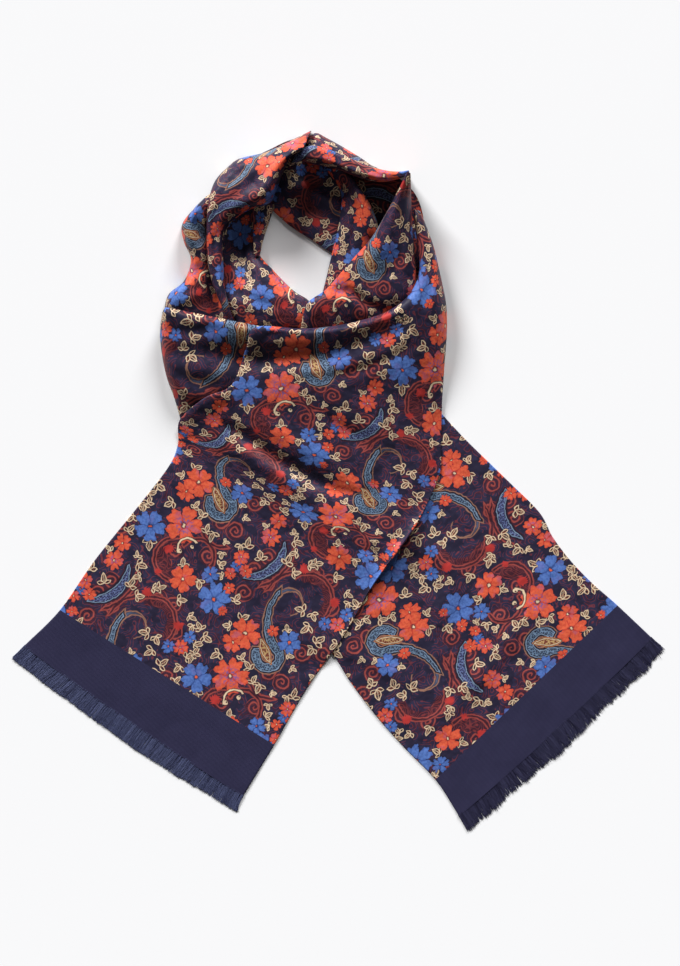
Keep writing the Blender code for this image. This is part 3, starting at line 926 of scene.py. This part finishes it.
BACK_RIGHT_OUTER = (
    (-28, 345, 3, 2, -31, 336, 8, 0, 0),
    (-21, 347, 11, 10.7, -25, 331, 29, 0, 0),
    (-13, 343, 11, 10.7, -18, 328, 32, 0, 0),
    (5, 333, 11, 10.8, 0, 318, 34, 0, 0),
    (23, 322, 11, 10.8, 20, 308, 35, 0, 0),
    (38, 312, 8.2, 8, 38, 300, 35, 0, 0),
    (52, 307, 3, 2, 52, 300, 37, 0, 0),
    (60, 306.5, 2, 1, 60, 301.5, 39, 0, 0),
    (69, 306, 1.5, 0.5, 69, 302.5, 41, 0, 0),
)
lay(
    "back_right_outer",
    BACK_RIGHT_OUTER,
    creases=(),
    at=(10, 330), motif=(-8, 147), turn=310, scale=(1.3, 1.3),
    flat=(0.035, 0.12), area=0.0036, on="hidden_layers_silk",
)

# ------------------------------
# The band over the back, at the right. It is the fold that the strip turns over on, from the point of
# the back to the tip that stands at the right.

BACK_RIGHT_COLLAR = (
    (-45, 322, 22, 0, -50, 311, 22, 0, 0),
    (-34, 330, 33, 2, -38, 317, 34, 12, 1),
    (-22, 332, 38, 3, -23, 314, 37, 20, 2),
    (2, 324, 40, 3, -1, 309, 38, 24, 3),
    (24, 314, 41, 3, 20, 301, 38, 26, 3),
    (44, 308, 42, 4, 42, 296, 38, 26, 3),
    (60, 306, 43, 8, 61, 299, 40, 20, 2),
    (70, 307, 45, 4, 71, 304, 43, 2, 0),
)
lay(
    "back_right_collar",
    BACK_RIGHT_COLLAR,
    creases=(
        (2.0, 4, (-15, 326), (15, 311), (50, 303)),
        (-1.5, 4, (-10, 318), (20, 305), (44, 299)),
    ),
    at=(15, 316), motif=(67, 15), turn=160, scale=(1.15, 1.15),
    flat=(0.035, 0.12), area=0.0034, on="back_right_outer_silk",
)

# ------------------------------
# The flap at the right. The strip turns down from the standing tip in a three-cornered fold, and spreads
# under the roll along the front.

RIGHT_FLAP = (
    (69, 306, 45, 2, 72, 303, 40, 4, 0),
    (58, 285, 44, 12, 73, 281, 32, 13, 1),
    (47, 264, 40, 14, 74, 258, 29, 16, 3),
    (33, 241, 34, 10, 76, 231, 26, 16, 4),
    (12, 217, 28, 4, 78, 205, 24, 12, 4),
    (-11, 191, 22, 5, 76, 183, 22, 10, 5),
    (-29, 178, 20, 6, 62, 167, 16, 0, 6),
    (-35, 164, 18, 6, 47, 154, 12, 0, 4),
    (-38, 144, 10, 2, 27, 138, 8, 0, 2),
)
lay(
    "right_flap",
    RIGHT_FLAP,
    creases=(
        (4.0, 5, (-10, 190), (14, 186), (28, 176), (48, 168)),
        (-2.0, 7, (50, 262), (48, 235), (30, 212)),
        (2.0, 6, (66, 270), (64, 240), (56, 214), (40, 196)),
    ),
    at=(33, 213), motif=(49, 56), turn=-30, scale=(1.15, 1.1),
    flat=(0.095, 0.15), area=0.0112, on="inner_right_strand_silk",
)

# ------------------------------
# The broad collar at the left of the back. Its light facet leans outwards to the table, and it narrows
# into the ridge that runs down beside the folds of the neck.

BACK_LEFT_COLLAR = (
    (-27, 349, 28, 26.9, -35, 328, 38, 14, 1),
    (-48, 339, 16, 15.8, -47, 321, 39, 20, 3),
    (-72, 328, 21, 20.7, -54, 308, 40, 24, 4),
    (-99, 321, 24, 22, -61, 290, 40, 28, 4),
    (-110, 313, 24, 22, -68, 276, 38, 28, 4),
    (-120, 303, 25, 23, -86, 270, 34, 22, 4),
    (-126, 291, 26, 23, -102, 261, 30, 18, 3),
    (-130, 270, 28, 14, -114, 248, 24, 12, 2),
    (-131, 245, 26, 12, -115, 230, 22, 10, 1),
    (-130, 218, 25, 10, -114, 210, 22, 10, 1),
    (-125, 195, 24, 10, -113, 191, 22, 10, 1),
    (-118, 178, 22, 8, -109, 176, 21, 8, 0),
    (-110, 158, 16, 4, -104, 158, 16, 4, 0),
)
lay(
    "back_left_collar",
    BACK_LEFT_COLLAR,
    creases=(
        (2.5, 6, (-60, 322), (-80, 300), (-104, 282), (-122, 262)),
        (-2.0, 6, (-52, 312), (-72, 290), (-96, 272)),
        (2.0, 5, (-84, 316), (-104, 300), (-118, 282)),
        (1.5, 3, (-122, 250), (-123, 225), (-120, 195)),
    ),
    at=(-70, 312), motif=(18, 63), turn=124, scale=(1.25, 1.25),
    flat=(0.06, 0.19), area=0.0108, on="left_neck_silk",
)

# ------------------------------
# The shoulder. Here the lower tail's strip comes out from under the front at the left, puffs up and
# turns towards the back of the neck.

LEFT_SHOULDER = (
    (-172, 172, 25, 20, -76, 153, 14, 0, 3),
    (-175, 167, 29, 23, -76, 149, 26, 0, 4),
    (-178, 148, 26, 23, -83, 135, 22, 0, 4),
    (-176, 125, 24, 21, -88, 115, 16, 0, 5),
    (-171, 102, 19, 16, -95, 92, 12, 0, 4),
    (-163, 80, 12, 9, -113, 75, 8, 0, 2),
    (-156, 55, 3, 1, -133, 55, 3, 0, 0),
)
lay(
    "left_shoulder",
    LEFT_SHOULDER,
    creases=(
        (6.0, 11, (-185, 128), (-123, 125), (-92, 120), (-70, 118)),
        (2.0, 6, (-172, 150), (-150, 148), (-120, 152), (-96, 158)),
        (2.0, 7, (-165, 108), (-140, 98), (-118, 96)),
        (-2.0, 7, (-168, 96), (-145, 84), (-125, 84)),
    ),
    at=(-138, 111), motif=(39, 113), turn=124,
    flat=(0.1, 0.12), area=0.0104, on="hidden_layers_silk",
)

# ------------------------------
# The left tail. It lies over everything else: from its fringed end it crosses the right tail, rises into
# the front of the loop, rolls over at the lip, and goes on up the right side of the neck.

LEFT_STRIP = (
    # left x, y, height, turn; right x, y, height, turn; rise
    (-314, -166, 1.5, 0, -95, -316, 1.5, 0, 0),  # end of the band
    (-278, -130, 1.5, 0, -64, -265, 1.5, 0, 0),  # start of the print
    (-243, -80, 1.5, 0, -31, -208, 1.5, 0, 0),
    (-198, -24, 1.5, 0, 5, -157, 1.5, 0, 0),
    (-169, 14, 1.5, 0, 30, -112, 4, -3, 0),
    (-160, 36, 3, 1, 44, -91, 7, -5, 0),
    (-158, 60, 7, 3, 55, -76, 8, -6, 0),
    (-133, 82, 14, 2, 75, -48, 7, -5, 0),
    (-106, 95, 18, 2, 88, -25, 4, -2, 2),
    (-92, 130, 24, 2, 102, 8, 3, 0, 5),
    (-82, 152, 32, 7, 103, 40, 3, 1, 5),  # the left edge reaches the lip
    (-38, 151, 34, 14, 104, 75, 6, 4, 5),
    (-7, 153, 35, 14, 106, 108, 12, 10, 4),
    (26, 160, 35, 14, 108, 132, 16, 14, 3),
    (51, 169, 34, 12, 109, 155, 18, 16, 3),
    (71, 185, 32, 9, 108, 177, 20, 18, 3),
    (81, 208, 28, 10, 103, 202, 21, 19, 3),  # the lip ends and the right side goes on up
    (79, 235, 26, 10, 96, 232, 21, 16, 2),
    (76, 258, 24, 6, 87, 256, 21, 10, 1),
    (75, 270, 20, 2, 82, 268, 18, 3, 0),
)
LEFT_SLACK = (
    # cloth taken up in the pleat by each section, at the left edge and at the right
    (0, 0), (0, 0), (0, 0), (0, 0), (0, 0), (6, 2), (30, 8), (41, 15), (41, 28), (41, 35),
    *[(42, 43)] * 10,
)
LEFT_CREASES = (
    # depth, width, points that the crease runs through
    (7.0, 11, (-180, 128), (-123, 125), (-92, 120), (-48, 122), (-8, 126), (45, 145), (70, 162)),
    (6.0, 7, (-118, 58), (-93, 43), (-60, 20), (-20, -2), (20, -18)),
    (-3.5, 9, (-110, 36), (-80, 18), (-50, -2), (-20, -22)),
    (-3.0, 10, (-80, 62), (-50, 40), (-20, 24), (10, 14)),
    (3.0, 8, (22, -64), (38, -76), (44, -100), (30, -124)),
    (2.0, 9, (-40, 90), (-10, 60), (20, 40), (60, 20)),
    (2.0, 6, (-40, 100), (0, 104), (40, 116), (80, 136)),
    (1.5, 9, (60, 40), (40, 0), (30, -40), (10, -90)),
    (-1.2, 10, (90, 30), (70, -10), (40, -60)),
    (1.2, 10, (-150, 10), (-160, -40), (-200, -90), (-240, -130)),
    (2.5, 5, (88, 250), (90, 225), (92, 200), (86, 176)),
)
left_rows = np.column_stack([LEFT_STRIP, LEFT_SLACK])
seam = along(left_rows, 1)
left_top = settle(bowed(stretch(left_rows, LEFT_CREASES), seam))
SKEW = -0.25  # share of the taken-up cloth by which the print also slips along the strip
taken = evenly(left_rows)[:, len(LEFT_STRIP[0]) :]
across = np.linspace(0, 1, left_top.shape[1])
slack = taken[:, :1] * (1 - across) + taken[:, 1:] * across
left_print = printed(
    left_top, at=(-188, -46), motif=(0, 0), turn=-32.3, slip=np.dstack([SKEW * slack, slack])
)
left_tail = sheet_of("left_tail_silk", left_top[seam:], left_print[seam:], silk)

# ------------------------------
# The left end. Its plain band is the same weave as the right one and a little wider, and its fringe is
# paler, finer and more even.

PALE_FRINGE = ((0.028, 0.032, 0.080), (0.080, 0.094, 0.190))  # the colours that its threads lie between

left_band = sheet_of("left_band_silk", left_top[: seam + 1], left_print[: seam + 1], navy)
left_fringe = fringe(
    "left_fringe_threads", left_top[0], left_top[3], fringe_silk("pale fringe", *PALE_FRINGE),
    reach=17, thick=0.72, count=2600, ragged=0.6, clump=9.0, seed=5,
)
dress(left_fringe, ["left_fringe"])
dress(left_band, ["left_band"])
dress(
    left_tail, ["left_tail"],
)

# ------------------------------
# The stage: the white table that the scarf lies on, two soft lights from beyond its far edge, and the
# camera that looks straight down.

bpy.ops.mesh.primitive_plane_add(size=6)
floor = bpy.context.object
floor.name = "floor"
floor.select_set(False)
white = bpy.data.materials.new("white table")
white.use_nodes = True
paint = white.node_tree.nodes["Principled BSDF"].inputs
paint["Base Color"].default_value = (0.86, 0.86, 0.87, 1)
paint["Roughness"].default_value = 0.9
floor.data.materials.append(white)


def window(name, azimuth, height, width, strength):
    """Soft light from far off: its azimuth clockwise from +Y, its height and its width in degrees."""
    bpy.ops.object.light_add(type="SUN", location=(0, 0, 2))
    light = bpy.context.object
    light.name = name
    light.data.angle = np.radians(width)
    light.data.energy = strength
    light.rotation_euler = (np.radians(90 - height), 0, np.radians(180 - azimuth))
    light.select_set(False)


window("left window", azimuth=-32, height=24, width=18, strength=4.5)
window("right window", azimuth=18, height=24, width=22, strength=3.2)

world = bpy.data.worlds.new("studio")
world.use_nodes = True
sky = world.node_tree.nodes["Background"].inputs
sky["Color"].default_value = (1, 1, 1, 1)
sky["Strength"].default_value = 0.10
bpy.context.scene.world = world
bpy.context.scene.view_settings.view_transform = "Standard"

FAR = 5.0  # how high the camera is, in metres
FRAME = 0.966  # height of the table that the picture takes in
FILM = 36
bpy.ops.object.camera_add(location=(0.002, -0.003, FAR), rotation=(0, 0, 0))
camera = bpy.context.object
camera.data.sensor_fit = "VERTICAL"
camera.data.sensor_height = camera.data.sensor_width = FILM
camera.data.lens = FILM * FAR / FRAME
camera.data.clip_end = 20
camera.select_set(False)
bpy.context.scene.camera = camera
